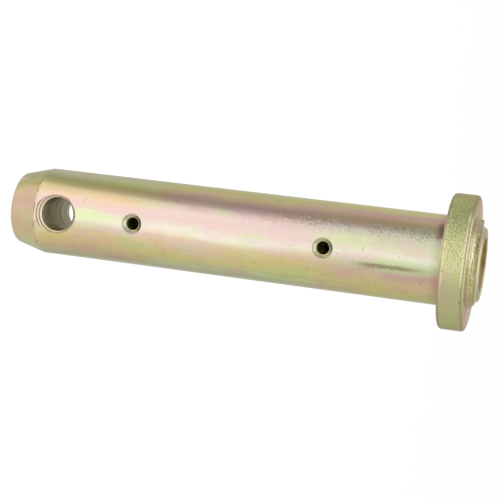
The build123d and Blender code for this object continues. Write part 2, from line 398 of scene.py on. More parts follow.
def film_and_shade_on_lead_in(shader, spot, turn, colour):
    """The lead-in is tan in front and olive at the sides, darker at one side with painted shade, with
    swirls, and has nicks along its edge.
    """
    # Painted shade: the moss and bog bearings darken one side of the lead-in
    film = shader.by_bearing(turn, FILM_AND_SHADE_ON_LEAD_IN)
    swirl = shader.noise(spot.place, 85.0, 3.0, 0.5, 0.8, squeeze=(1.0, 1.0, 0.8))
    film = shader.tint(film, WILLOW, shader.band(swirl, 0.50, 0.64), 0.55)
    film = shader.tint(film, SALMON, shader.band(swirl, 0.48, 0.36), 0.55)
    below_edge = shader.band(spot.z, LEAD_IN_TOP + 1.2 * MM, LEAD_IN_TOP - 0.8 * MM)
    colour = shader.tint(colour, film, below_edge, 0.88)
    nicks = shader.band(shader.noise(spot.place, 300.0, 2.0), 0.50, 0.60)
    at_edge = shader.near(spot.z, LEAD_IN_TOP, 0.5 * MM, 0.2 * MM)
    return shader.tint(colour, DIRT, nicks, at_edge, 0.7)


def film_and_light_on_shank(shader, spot):
    """The chromate film with its painted highlight and shade: its bands are bent and broken up by drifting
    clouds.
    """
    drift = shader.noise(spot.place, 45.0, 3.0, 0.5, 0.9, squeeze=(1.0, 1.0, 0.40))
    turn = shader.bearing(spot.x, spot.y, shader.scaled(drift, 44.0, -22.0))
    colour = film_and_light_bands(shader, spot, turn)
    for layer in (pink_and_green_clouds, warm_clouds, green_run, film_and_shade_on_lead_in):
        colour = layer(shader, spot, turn, colour)
    return colour


def turning_marks(shader, spot, colour, marks, streaks):
    """Turning marks round the pin, clearest near the head, and streaks along it shade the film."""
    depth = shader.scaled(shader.band(spot.z, *CLEARER_MARKS), 0.14, 0.08)
    shade = shader.scaled(shader.math("SUBTRACT", marks, 0.5), depth, 1.0)
    return shader.shaded(colour, shader.times(shade, shader.scaled(streaks, 0.14, 0.93)))


def rough_patches(shader, spot):
    """1 in clusters beside the mauve band where the metal is grainy, more of them towards the head."""
    clusters = shader.noise(spot.place, 75.0, 3.0, squeeze=(1.0, 1.0, 0.6))
    more = shader.times(shader.band(spot.z, *MORE_GRIT), 0.10)
    clusters = shader.band(shader.math("ADD", clusters, more), 0.54, 0.68)
    return shader.times(clusters, shader.near(spot.turn, *GRIT_STRIP), shader.band(spot.z, *GRIT_START))


def glints_and_shade_in_patches(shader, spot, colour, grit, rough):
    """Painted shade and painted glints on the grains of the rough patches."""
    colour = shader.tint(colour, GRIT_SHADE, shader.band(grit, 0.50, 0.40), rough, 0.5)
    duller_at_head = shader.scaled(shader.band(spot.z, *DULLER_GRIT), -0.4, 0.95)
    return shader.tint(colour, GLINT, shader.band(grit, 0.57, 0.64), rough, duller_at_head)


def dark_line(shader, spot, colour, grit, marks):
    """A thin dark line along the pin near the head, with ragged sides."""
    ragged = shader.scaled(grit, 6.0, shader.times(marks, 4.0))
    on_mark = shader.near(shader.math("SUBTRACT", spot.turn, ragged), *DARK_LINE)
    start, end = shader.band(spot.z, *DARK_LINE_START), shader.band(spot.z, *DARK_LINE_END)
    return shader.tint(colour, DARK_LINE_COLOUR, on_mark, start, end, 0.8)


def shade_under_collar(shader, spot, colour):
    """Painted shade in the corner under the collar, most of it in one blot."""
    outside = shader.band(spot.out, SHANK_RADIUS - 0.6 * MM, SHANK_RADIUS - 0.4 * MM)
    corner = shader.times(shader.band(spot.z, COLLAR_FOOT - 7.0 * MM, COLLAR_FOOT - 0.5 * MM), 0.35)
    blot_rises = shader.band(spot.z, COLLAR_FOOT - 6.0 * MM, COLLAR_FOOT - 2.0 * MM)
    blot = shader.times(shader.near(spot.turn, *SHADE_BLOT), blot_rises, 0.8)
    return shader.tint(colour, COLLAR_SHADE, shader.math("MAXIMUM", corner, blot), outside)


def mouth_and_recess(shader, spot):
    """1 on the spigot's rim and in the recess, and 1 in the recess alone."""
    in_head = shader.band(spot.z, COLLAR_FOOT - 1.0 * MM, COLLAR_FOOT)
    mouth = shader.band(spot.out, SPIGOT_RADIUS - 0.4 * MM, SPIGOT_RADIUS - 0.8 * MM)
    recess = shader.band(spot.out, RECESS_RADIUS + 0.4 * MM, RECESS_RADIUS + 0.1 * MM)
    return shader.times(in_head, mouth), shader.times(in_head, recess)


def light_and_shade_in_mouth(shader, spot, colour, mouth, recess):
    """Painted shade on the spigot's rim and in the recess, in brown and gold, with a painted highlight
    along the rim's edge, and painted light deep in the recess and on its +X side.
    """
    stain = shader.band(shader.noise(spot.place, 180.0, 3.0, 0.6), 0.36, 0.64)
    colour = shader.tint(colour, shader.mix(stain, RIM_SHADE_BROWN, RIM_SHADE_GOLD), mouth, 0.95)
    wall = shader.mix(stain, RECESS_SHADE_BROWN, RECESS_SHADE_GOLD)
    wall = shader.tint(wall, RECESS_DEEP_LIGHT, shader.band(spot.z, COLLAR_FACE, COLLAR_FACE - 4.0 * MM))
    wall = shader.tint(wall, RECESS_LIGHT, shader.band(spot.x, 0.0, 8.0 * MM), 0.6)
    colour = shader.tint(colour, wall, recess)
    rim_start = COLLAR_FACE + SPIGOT_RIM_START
    rim_top = shader.band(spot.z, rim_start + 0.2 * MM, rim_start + 0.5 * MM)
    rim_side = shader.band(spot.out, SPIGOT_RADIUS - 0.8 * MM, SPIGOT_RADIUS - 0.4 * MM)
    return shader.tint(colour, RIM_EDGE_HIGHLIGHT, rim_top, rim_side, 0.8)


def from_hole(shader, spot, height):
    """Distance from the axis of a hole that crosses the pin at this height."""
    return shader.distance(spot.x, shader.math("SUBTRACT", spot.z, height))


def outlet_rings(shader, spot, colour):
    """Painted light on each outlet's countersink: a pale painted highlight on its cone and a dark painted
    shade line at its edge.
    """
    in_front = shader.band(spot.front, 0.0, 10.0 * MM)
    for height in OUTLET_HEIGHTS:
        away = from_hole(shader, spot, height)
        cone = shader.band(away, OUTLET_RING, OUTLET_RING - 0.3 * MM)
        colour = shader.tint(colour, OUTLET_CONE_LIGHT, cone, in_front, 0.5)
        edge = shader.near(away, OUTLET_RING, 0.40 * MM, 0.15 * MM)
        colour = shader.tint(colour, OUTLET_EDGE_SHADE, edge, in_front, 0.75)
    return colour


def inside_holes(shader, spot):
    """1 on the walls of the cross hole and of the grease outlets, 0 outside them."""
    away = from_hole(shader, spot, HOLE_HEIGHT)
    inside = shader.times(
        shader.band(away, HOLE_RADIUS + 0.4 * MM, HOLE_RADIUS + 0.2 * MM),
        shader.band(shader.math("ABSOLUTE", spot.y), BORE_START, BORE_START - 0.8 * MM),
    )
    for height in OUTLET_HEIGHTS:
        away = from_hole(shader, spot, height)
        outlet = shader.times(
            shader.band(away, OUTLET_RADIUS + 0.4 * MM, OUTLET_RADIUS + 0.1 * MM),
            shader.band(spot.front, SHANK_RADIUS - 1.0 * MM, SHANK_RADIUS - 2.0 * MM),
            shader.band(spot.front, -6.0 * MM, -5.0 * MM),
        )
        inside = shader.math("MAXIMUM", inside, outlet)
    return inside


def shaded_hole_walls(shader, spot, rings):
    """Painted shade inside the holes, with drilling rings, and painted light at the mouth and towards the
    far end.
    """
    hole_shade = shader.mix(shader.band(rings, 0.38, 0.62), HOLE_SHADE_DARK, HOLE_SHADE_BROWN)
    hole_shade = shader.tint(hole_shade, HOLE_SHADE_MOTTLE, shader.noise(spot.place, 120.0, 3.0, 0.6), 0.8)
    hole_shade = shader.tint(hole_shade, HOLE_FAR_LIGHT, shader.band(spot.y, *FAR_HALF), 0.65)
    hole_shade = shader.tint(hole_shade, HOLE_MOUTH_LIGHT, shader.band(spot.y, *NEAR_MOUTH), 0.5)
    depth = shader.scaled(shader.band(spot.y, *CLEARER_RINGS), 0.34, 0.16)
    level = shader.math("SUBTRACT", shader.band(rings, 0.40, 0.60), 0.5)
    return shader.shaded(hole_shade, shader.scaled(level, depth, 1.0))


def countersink_steps(shader, spot):
    """1 in the stepped countersinks of the cross hole, and 1 in the corners of their steps."""
    away = from_hole(shader, spot, HOLE_HEIGHT)
    outer = HOLE_RADIUS + RINGS * RING_WIDTH
    sunk = shader.times(
        shader.band(spot.out, SHANK_RADIUS - 0.10 * MM, SHANK_RADIUS - 0.25 * MM),
        shader.band(away, HOLE_RADIUS + 0.05 * MM, HOLE_RADIUS + 0.20 * MM),
        shader.band(away, outer + 0.1 * MM, outer - 0.1 * MM),
    )
    steps = shader.math("DIVIDE", shader.math("SUBTRACT", away, HOLE_RADIUS), RING_WIDTH)
    corners = shader.near(steps, shader.math("ROUND", steps), 0.30, 0.14)
    inner_two = shader.times(shader.band(steps, 0.4, 0.6), shader.band(steps, RINGS - 0.3, RINGS - 0.5))
    return sunk, shader.times(corners, inner_two, sunk)


def light_and_shade_in_countersinks(shader, spot, colour, sunk, grooves):
    """A painted highlight towards the nose and painted shade towards the head, with painted shade in the
    corners of the steps.
    """
    towards_head = shader.band(spot.z, HOLE_HEIGHT + 3.0 * MM, HOLE_HEIGHT + 7.0 * MM)
    colour = shader.tint(colour, shader.mix(towards_head, SUNK_LIGHT, SUNK_SHADE), sunk, 0.6)
    return shader.tint(colour, GROOVE_SHADE, grooves, 0.85)


def shank_material():
    material, shader, spot, surface = metal("plated shank")
    marks = shader.noise(spot.place, 1500.0, 3.0, 0.7, squeeze=(0.03, 0.03, 1.0))
    streaks = shader.noise(spot.place, 420.0, 3.0, 0.6, squeeze=(1.0, 1.0, 0.06))
    grit = shader.noise(spot.place, 900.0, 2.0, 0.6)
    rings = shader.noise(spot.place, 620.0, 3.0, 0.6, squeeze=(0.04, 1.0, 0.04))
    pits = shader.noise(spot.place, 500.0, 2.0)
    rough = rough_patches(shader, spot)
    mouth, recess = mouth_and_recess(shader, spot)
    inside = inside_holes(shader, spot)
    sunk, grooves = countersink_steps(shader, spot)

    colour = film_and_light_on_shank(shader, spot)
    colour = turning_marks(shader, spot, colour, marks, streaks)
    colour = dark_specks(shader, spot, colour, 650.0, 0.745, 0.65)
    colour = glints_and_shade_in_patches(shader, spot, colour, grit, rough)
    colour = dark_line(shader, spot, colour, grit, marks)
    colour = shade_under_collar(shader, spot, colour)
    colour = shader.tint(colour, DULL_NOSE, shader.band(spot.z, *NOSE_EDGE), 0.6)
    colour = light_and_shade_in_mouth(shader, spot, colour, mouth, recess)
    colour = outlet_rings(shader, spot, colour)
    colour = shader.tint(colour, shaded_hole_walls(shader, spot, rings), inside)
    colour = light_and_shade_in_countersinks(shader, spot, colour, sunk, grooves)
    shader.feed(surface.inputs["Base Color"], colour)

    # Thin plating and dirt mirror less than the rest
    not_bare = shader.scaled(sunk, 0.45, shader.times(inside, 0.2))
    not_bare = shader.scaled(recess, 0.25, not_bare)
    shader.feed(surface.inputs["Metallic"], shader.math("SUBTRACT", 1.0, not_bare))
    roughness = shader.scaled(pits, 0.16, 0.12)
    for where, more in ((inside, 0.10), (mouth, 0.10), (sunk, 0.22)):
        roughness = shader.scaled(where, more, roughness)
    shader.feed(surface.inputs["Roughness"], roughness)

    normal = shader.bump(marks, 0.010 * MM, 0.7)
    normal = shader.bump(streaks, 0.012 * MM, 0.5, normal)
    normal = shader.bump(shader.times(rings, inside), 0.5 * MM, 1.0, normal)
    normal = shader.bump(pits, 0.010 * MM, 0.4, normal)
    normal = shader.bump(shader.times(grit, rough), 0.14 * MM, 0.8, normal)
    shader.feed(surface.inputs["Normal"], normal)
    return material


# The collar

# Its film by bearing, on the rim and on the faces, with painted shade: darker at the sides than in front
FILM_AND_SHADE_ON_RIM = [
    (-120.0, BRASS), (-80.0, MOSS), (-41.0, MOSS), (-26.0, FERN), (-11.0, STRAW), (4.0, STRAW),
    (19.0, DRAB), (60.0, DRAB), (100.0, FERN), (140.0, BRASS),
]
FILM_AND_SHADE_ON_FACES = [
    (-120.0, BRASS), (-76.0, CLAY), (-60.0, UMBRA), (-36.0, DRAB), (-18.0, SAND), (4.0, DRAB),
    (22.0, MAUVE), (50.0, UMBRA), (64.0, CLAY), (110.0, DRAB), (150.0, BRASS),
]

# Where things lie round it, as on the shank
GRAINY_PART = (-26.0, 48.0, 18.0)
PINK_PART = (20.0, 16.0, 6.0)
FIRST_WEAR_AND_HIGHLIGHT_PART = (-12.0, 36.0, 26.0)
SECOND_WEAR_AND_HIGHLIGHT_PART = (-20.0, 24.0, 14.0)
TOE_HIGHLIGHT_PART = (-16.0, 26.0, 6.0)

RIM_PINK = (0.84, 0.62, 0.50)
GRAIN_GLINT = (1.0, 0.95, 0.56)
GRAIN_SHADE = (0.42, 0.38, 0.14)
FACE_GREEN = (0.72, 0.70, 0.40)
DULL_EDGE = (0.60, 0.46, 0.27)
WORN_AND_LIT_EDGE = (1.0, 0.90, 0.62)
NICK = (0.34, 0.28, 0.14)
TOE_HIGHLIGHT = (1.0, 1.0, 0.62)
EDGE_ON_TINT = (0.90, 0.78, 0.76, 1.0)


def film_and_light_on_rim(shader, turn, cloud, grain, grainy, to_shank):
    """Green and gold, with bright and dark grains where the photograph shows them."""
    colour = shader.by_bearing(turn, FILM_AND_SHADE_ON_RIM)
    colour = shader.tint(colour, RIM_PINK, shader.near(turn, *PINK_PART), to_shank, 0.6)
    colour = shader.tint(colour, GRASS, shader.band(cloud, 0.50, 0.62), 0.6)
    # Painted glints on the bright grains and painted shade on the dark ones
    bright = shader.scaled(grainy, 0.80, 0.10)
    colour = shader.tint(colour, GRAIN_GLINT, shader.band(grain, 0.54, 0.64), bright)
    dark = shader.scaled(grainy, 0.49, 0.06)
    return shader.tint(colour, GRAIN_SHADE, shader.band(grain, 0.46, 0.34), dark)


def film_and_shade_on_faces(shader, spot, cloud):
    """Smoother and pinker than the rim, with the same painted shade at the sides."""
    wander = shader.scaled(shader.noise(spot.place, 45.0, 3.0), 36.0, -18.0)
    colour = shader.by_bearing(shader.bearing(spot.x, spot.y, wander), FILM_AND_SHADE_ON_FACES)
    return shader.tint(colour, FACE_GREEN, shader.band(cloud, 0.50, 0.64), 0.4)


def across_edge(shader, spot):
    """Place across the collar's rounded edges: -1 beside the rim, 1 beside the face, a bit uneven."""
    from_middle = shader.math("ABSOLUTE", shader.math("SUBTRACT", spot.z, COLLAR_MIDDLE))
    up_edge = shader.math("SUBTRACT", from_middle, COLLAR_FACE - COLLAR_MIDDLE - COLLAR_EDGE)
    in_edge = shader.math("SUBTRACT", spot.out, COLLAR_RADIUS - COLLAR_EDGE)
    across = shader.math("DIVIDE", shader.math("SUBTRACT", up_edge, in_edge), COLLAR_EDGE)
    return shader.math("ADD", across, shader.scaled(shader.noise(spot.place, 420.0, 3.0, 0.7), 0.5, -0.25))


def wear_and_highlight_lines(shader, spot, turn, across, to_shank):
    """1 on two bright lines in front, edge wear with a painted highlight on it: one where the edge leaves
    the rim, one half-way round it.
    """
    patchy = shader.band(shader.noise(spot.place, 130.0, 2.0), 0.36, 0.50)
    first = shader.times(
        shader.near(across, -0.90, 0.34, 0.18),
        shader.near(turn, *FIRST_WEAR_AND_HIGHLIGHT_PART),
        shader.scaled(patchy, 0.55, 0.45),
        shader.scaled(to_shank, -0.5, 1.0),
    )
    second = shader.times(
        shader.near(across, 0.25, 0.34, 0.16),
        shader.near(turn, *SECOND_WEAR_AND_HIGHLIGHT_PART),
        shader.scaled(patchy, 0.5, 0.5),
    )
    return shader.math("MAXIMUM", first, second)


def wear_and_highlight_on_edge(shader, spot, colour, across, wear_and_highlight):
    """The edge is dull, with the worn and painted-highlight lines and dark nicks on it."""
    dull = shader.times(shader.band(across, -0.85, -0.6), shader.band(across, 0.5, 0.1))
    colour = shader.tint(colour, DULL_EDGE, dull, 0.55)
    colour = shader.tint(colour, WORN_AND_LIT_EDGE, wear_and_highlight, 0.9)
    nicks = shader.band(shader.noise(spot.place, 430.0, 2.0), 0.66, 0.72)
    return shader.tint(colour, NICK, nicks, shader.near(across, -0.8, 0.6, 0.3), 0.75)


def beside_toe(shader, spot, turn):
    """1 on the face in front, beside the weld's toe, where a painted highlight goes."""
    toe = SPIGOT_RADIUS + BEAD_LEG_OUT
    return shader.times(
        shader.band(spot.out, toe + 7.0 * MM, toe + 1.0 * MM),
        shader.band(spot.z, COLLAR_FACE - 1.0 * MM, COLLAR_FACE - 0.2 * MM),
        shader.near(turn, *TOE_HIGHLIGHT_PART),
    )


def collar_material():
    material, shader, spot, surface = metal("plated collar")
    cloud = shader.noise(spot.place, 60.0, 4.0, 0.6, 0.6)
    grain = shader.noise(spot.place, 1100.0, 2.0, 0.6)
    turn = shader.bearing(spot.x, spot.y, shader.scaled(cloud, 24.0, -12.0))
    rim = shader.band(spot.out, COLLAR_RADIUS - 2.4 * MM, COLLAR_RADIUS - 1.5 * MM)
    grainy = shader.near(turn, *GRAINY_PART)
    to_shank = shader.band(spot.z, COLLAR_MIDDLE + 1.0 * MM, COLLAR_FOOT + 1.5 * MM)
    across = across_edge(shader, spot)
    wear_and_highlight = wear_and_highlight_lines(shader, spot, turn, across, to_shank)
    toe_highlight = beside_toe(shader, spot, turn)

    on_rim = film_and_light_on_rim(shader, turn, cloud, grain, grainy, to_shank)
    colour = shader.mix(rim, film_and_shade_on_faces(shader, spot, cloud), on_rim)
    colour = wear_and_highlight_on_edge(shader, spot, colour, across, wear_and_highlight)
    # Painted highlight on the face beside the weld's toe
    colour = shader.tint(colour, TOE_HIGHLIGHT, toe_highlight, 0.8)
    colour = dark_specks(shader, spot, colour, 600.0, 0.75, 0.6)
    shader.feed(surface.inputs["Base Color"], colour)

    not_bare = shader.scaled(wear_and_highlight, 0.16, shader.times(toe_highlight, 0.35))
    shader.feed(surface.inputs["Metallic"], shader.math("SUBTRACT", 1.0, not_bare))
    surface.inputs["Specular Tint"].default_value = EDGE_ON_TINT
    roughness = shader.scaled(rim, 0.06, 0.26)
    shader.feed(surface.inputs["Roughness"], shader.scaled(wear_and_highlight, -0.14, roughness))

    turned = shader.add("ShaderNodeTexNoise", {"W": spot.out, "Scale": 2200.0}, noise_dimensions="1D")
    rough_rim = shader.times(rim, shader.scaled(grainy, 0.82, 0.18))
    normal = shader.bump(shader.times(grain, rough_rim), 0.42 * MM, 1.0)
    normal = shader.bump(turned.outputs["Fac"], 0.010 * MM, 0.5, normal)
    normal = shader.bump(shader.noise(spot.place, 420.0, 2.0), 0.04 * MM, 0.6, normal)
    shader.feed(surface.inputs["Normal"], normal)
    return material


# The weld bead between the collar and the spigot

BEAD_LEG_OUT = 4.4 * MM
BEAD_LEG_UP = 2.9 * MM
BEAD_CLIMB = 0.75 * MM      # how much higher the bead runs up the spigot in front
BEAD_FACE_RADIUS = 7.4 * MM
BEAD_SINK = 0.05 * MM
BEAD_RIPPLES = 56
BEAD_STEPS = 1008
BEAD_POINTS_ACROSS = 36
BEAD_SPREAD = 21.0 * MM     # radius at which the bead's lumps have their stated size

# Places round the bead, as angles from +X
PITS_ANGLE = -123.0
CLIMB_ANGLE = -85.0
CALM_ANGLE = -48.0          # the bead is smooth here
LOW_TOE_ANGLE = -15.0
# Spatter: angle from +X, distance from the axis, height over the collar, radius
SPATTER = [(175.0, 20.95 * MM, 2.0 * MM, 1.1 * MM), (51.0, 19.2 * MM, 3.4 * MM, 1.3 * MM)]

# Its film, from its toe on the collar at 0 to the spigot at 1, and painted shade by bearing: how bright it
# is round it
FILM_ON_WELD = [
    (0.0, (0.96, 0.96, 0.66)), (0.12, (0.96, 0.98, 0.66)), (0.26, (0.78, 0.76, 0.44)),
    (0.44, (0.94, 0.80, 0.50)), (0.60, (0.80, 0.74, 0.40)), (0.74, (1.0, 0.88, 0.54)),
    (0.86, (0.66, 0.52, 0.30)), (1.0, (1.0, 0.86, 0.62)),
]
WELD_SHADE_LEVELS = [
    (-90.0, 0.90), (-32.0, 0.84), (-14.0, 0.74), (14.0, 0.74), (34.0, 0.84), (110.0, 0.92),
]

# Where colours lie round it, as on the shank
BROWN_PART = (-6.0, 30.0, 16.0)
GREEN_SIDE = (48.0, 36.0, 18.0)
SMOOTH_SIDE = (48.0, 32.0, 16.0)
TAN_SIDE = (-66.0, 34.0, 20.0)
GREEN_PATCH = (-41.0, 10.0, 4.0)
BRIGHT_TOE = (-18.0, 26.0, 10.0)

WELD_CLOUD = (0.76, 0.84, 0.38)
WELD_BROWN = (0.56, 0.42, 0.20)
WELD_GREEN = (0.72, 0.74, 0.34)
WELD_PINK = (0.88, 0.66, 0.54)
WELD_TAN = (0.86, 0.68, 0.52)
WELD_LEAF = (0.58, 0.74, 0.44)
WELD_CAST = (0.96, 0.94, 0.80)
WELD_TOE_HIGHLIGHT = (1.0, 1.0, 0.68)


def film_on_weld(shader, spot, across, patches):
    """Zones from the toe to the spigot, with green clouds, and brown in front beside the spigot."""
    colour = shader.ramp(shader.math("ADD", across, shader.scaled(patches, 0.70, -0.35)), FILM_ON_WELD)
    cloud = shader.noise(spot.place, 140.0, 3.0, 0.6, 0.4)
    colour = shader.tint(colour, WELD_CLOUD, shader.band(cloud, 0.50, 0.66), 0.5)
    brown = shader.times(shader.near(spot.turn, *BROWN_PART), shader.band(across, 0.42, 0.58))
    return shader.tint(colour, WELD_BROWN, brown, shader.band(patches, 0.62, 0.42), 0.7)


def sides_of_weld(shader, spot, across, colour):
    """One side is green, and pink at the toe, and the other side tan with a green patch."""
    green_side = shader.near(spot.turn, *GREEN_SIDE)
    colour = shader.tint(colour, WELD_GREEN, green_side, 0.55)
    colour = shader.tint(colour, WELD_PINK, green_side, shader.band(across, 0.36, 0.14), 0.4)
    colour = shader.tint(colour, WELD_TAN, shader.near(spot.turn, *TAN_SIDE), 0.75)
    patch = shader.near(spot.turn, *GREEN_PATCH)
    return shader.tint(colour, WELD_LEAF, patch, shader.band(across, 0.55, 0.75), 0.55)


def light_on_weld(shader, spot, across, colour):
    """Painted shade by bearing, and a painted highlight on the toe: the toe is pale all round and
    brightest in front.
    """
    bright = shader.near(spot.turn, *BRIGHT_TOE)
    toe = shader.band(shader.math("DIVIDE", across, shader.scaled(bright, 0.24, 0.16)), 1.0, 0.7)
    level = shader.tint(shader.by_bearing(spot.turn, WELD_SHADE_LEVELS), WHITE, toe)
    colour = shader.mix(1.0, colour, level, "MULTIPLY")
    colour = shader.mix(1.0, colour, WELD_CAST, "MULTIPLY")
    return shader.tint(colour, WELD_TOE_HIGHLIGHT, toe, bright, 0.8)


def weld_material():
    """Colours run from the toe of the bead to the spigot, by the mesh's own measures of place and of soot
    and painted shade.
    """
    material, shader, spot, surface = metal("plated weld")
    across = shader.add("ShaderNodeAttribute", attribute_name="across").outputs["Fac"]
    soot_and_shade = shader.add("ShaderNodeAttribute", attribute_name="soot_and_shade").outputs["Fac"]
    patches = shader.noise(spot.place, 520.0, 3.0, 0.55, 0.4, squeeze=(0.6, 0.6, 1.3))
    grain = shader.noise(spot.place, 1300.0, 2.0)
    colour = film_on_weld(shader, spot, across, patches)
    colour = sides_of_weld(shader, spot, across, colour)
    colour = light_on_weld(shader, spot, across, colour)
    # Soot and painted shade in the crease and the pits, broken up by grain
    soot_and_shade = shader.times(soot_and_shade, shader.scaled(grain, 1.2, 0.6))
    colour = shader.tint(colour, UMBER, shader.math("MINIMUM", soot_and_shade, 0.92))
    shader.feed(surface.inputs["Base Color"], colour)
    surface.inputs["Roughness"].default_value = 0.30
    relief = shader.scaled(shader.near(spot.turn, *SMOOTH_SIDE), -0.6, 1.0)
    normal = shader.bump(shader.times(patches, relief), 0.30 * MM, 0.9)
    normal = shader.bump(grain, 0.06 * MM, 0.8, normal)
    shader.feed(surface.inputs["Normal"], normal)
    return material


def lumps(turn, along, size, seed):
    """Smooth noise from -1 to 1 on the bead, the same after a full turn."""
    reach = BEAD_SPREAD / size
    return noise.noise(Vector((cos(turn) * reach, sin(turn) * reach, along + seed)))


def bump_at(value, centre, width):
    return exp(-(((value - centre) / width) ** 2))


def turned_from(turn, degrees):
    """Degrees between a turn in radians and an angle from +X."""
    return abs((turn * 180.0 / pi - degrees + 180.0) % 360.0 - 180.0)


def clamped(value, low, high):
    return min(high, max(low, value))


def bead_relief(turn, across):
    """How far the bead stands out from its plain round face, and how much soot and painted shade it has
    there, in its crease and pits.

    across runs from 0 at its toe on the collar to 1 at the spigot.
    """
    crown = 4.0 * across * (1.0 - across)
    rough = 1.0 - 0.7 * bump_at(turned_from(turn, CALM_ANGLE), 0.0, 26.0)
    phase = turn / (2.0 * pi) * BEAD_RIPPLES + 0.5 * lumps(turn, 0.0, 5.0 * MM, 3.0)
    phase += 0.45 * (2.0 * across - 1.0) ** 2
    ripple = 1.0 - abs(2.0 * (phase % 1.0) - 1.0)
    relief = 0.11 * rough * sqrt(ripple) * sqrt(crown)
    relief += 0.34 * lumps(turn, 2.0 * across, 4.0 * MM, 11.0) * crown
    relief += 0.20 * rough * lumps(turn, 5.0 * across, 1.8 * MM, 13.0) * crown
    # Crease beside the spigot, deep in places and closed in others, and the ridge next to it
    crease_at = 0.82 + 0.06 * lumps(turn, 0.0, 6.0 * MM, 23.0)
    crease = bump_at(across, crease_at, 0.065)
    depth = clamped(0.5 + 1.2 * lumps(turn, 0.0, 2.5 * MM, 31.0), 0.15, 1.0)
    relief -= 0.50 * depth * crease
    relief += 0.16 * depth * bump_at(across, crease_at - 0.14, 0.07)
    # Rolled lip at the toe, more in some places than in others
    roll = clamped(0.5 + 1.3 * lumps(turn, 0.0, 3.0 * MM, 37.0), 0.0, 1.0)
    relief += 0.20 * roll * rough * (bump_at(across, 0.10, 0.06) - bump_at(across, 0.25, 0.06))
    # A patch of pits
    patch = bump_at(turned_from(turn, PITS_ANGLE), 0.0, 12.0) * bump_at(across, 0.66, 0.24)
    pits = patch * clamped(3.2 * lumps(turn, 7.0 * across, 0.8 * MM, 41.0) + 0.5, 0.0, 1.0)
    relief -= 0.55 * pits
    # Soot and painted shade: darker in the crease and in the pits
    soot_and_shade = min(1.0, 0.9 * depth * crease + 1.1 * pits)
    return relief * MM, soot_and_shade


def bead_section(turn):
    """The bead's section at one turn, round its face and back under it: point, across, and soot and
    painted shade.
    """
    out = BEAD_LEG_OUT + 0.30 * MM * lumps(turn, 0.0, 8.0 * MM, 51.0)
    out -= 0.6 * MM * bump_at(turned_from(turn, LOW_TOE_ANGLE), 0.0, 30.0)
    up = BEAD_LEG_UP + 0.22 * MM * lumps(turn, 0.0, 7.0 * MM, 57.0)
    up += BEAD_CLIMB * bump_at(turned_from(turn, CLIMB_ANGLE), 0.0, 55.0)
    inner, foot = SPIGOT_RADIUS - BEAD_SINK, COLLAR_FACE - BEAD_SINK
    toe, top = inner + out + BEAD_SINK, foot + up + BEAD_SINK
    # Where it runs up over the start of the spigot's rounded rim, it ends on the rounding
    over = max(0.0, up - SPIGOT_RIM_START)
    end = inner - SPIGOT_RIM_RADIUS + sqrt(SPIGOT_RIM_RADIUS**2 - over**2)
    chord = hypot(toe - end, top - foot)
    sink = sqrt(BEAD_FACE_RADIUS**2 - (chord / 2) ** 2) / chord
    centre_out = (end + toe) / 2 - sink * (top - foot)
    centre_up = (foot + top) / 2 - sink * (toe - end)
    first = atan2(foot - centre_up, toe - centre_out)
    last = atan2(top - centre_up, end - centre_out)
    section = []
    for point in range(BEAD_POINTS_ACROSS + 1):
        across = point / BEAD_POINTS_ACROSS
        slope = first + (last - first) * across
        relief, soot_and_shade = bead_relief(turn, across)
        reach = BEAD_FACE_RADIUS + relief
        height = max(foot, centre_up + reach * sin(slope))
        section.append((centre_out + reach * cos(slope), height, across, soot_and_shade))
    section.append((inner, (foot + top) / 2, 1.0, 0.0))
    section.append((inner, foot, 1.0, 0.0))
    section.append(((inner + toe) / 2, foot, 0.0, 0.0))
    return [((out * cos(turn), out * sin(turn), up), across, soot_and_shade) for out, up, across, soot_and_shade in section]


def join_rings(mesh, rings):
    """Faces between each ring of vertices and the next."""
    for ring, after in zip(rings, rings[1:]):
        for corners in zip(ring, after, after[1:] + after[:1], ring[1:] + ring[:1]):
            mesh.faces.new(corners)


def smooth_piece(name, mesh, material):
    """An object of this mesh, smooth but for end faces with many corners, which stay flat."""
    bmesh.ops.recalc_face_normals(mesh, faces=mesh.faces)
    data = bpy.data.meshes.new(name)
    mesh.to_mesh(data)
    mesh.free()
    for face in data.polygons:
        face.use_smooth = len(face.vertices) <= 4
    data.materials.append(material)
    piece = bpy.data.objects.new(name, data)
    bpy.context.collection.objects.link(piece)
    return piece


def weld_bead():
    """The weld as it was laid: ripples, a crease beside the spigot, pits, and spatter beside it."""
    mesh = bmesh.new()
    across_layer = mesh.verts.layers.float.new("across")
    soot_and_shade_layer = mesh.verts.layers.float.new("soot_and_shade")
    rings = []
    for step in range(BEAD_STEPS):
        ring = []
        for point, across, soot_and_shade in bead_section(2.0 * pi * step / BEAD_STEPS):
            vertex = mesh.verts.new(point)
            vertex[across_layer], vertex[soot_and_shade_layer] = across, soot_and_shade
            ring.append(vertex)
        rings.append(ring)
    join_rings(mesh, rings + rings[:1])
    for angle, out, up, size in SPATTER:
        place = Vector((out * cos(radians(angle)), out * sin(radians(angle)), COLLAR_FACE + up))
        ball = bmesh.ops.create_icosphere(mesh, subdivisions=4, radius=size)["verts"]
        for vertex in ball:
            vertex.co = place + vertex.co * (1.0 + 0.12 * noise.noise(vertex.co / size + place / MM))
            vertex[across_layer] = 0.7
    bead = smooth_piece("weld_bead", mesh, weld_material())
    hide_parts("head_weld")
    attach(bead, "pin")


# The nipple's parts

SPRING_RADIUS = 1.0 * MM    # to the middle of the wire
WIRE_RADIUS = 0.2 * MM
SPRING_COILS = 8
STEPS_PER_COIL = 32
WIRE_SIDES = 12


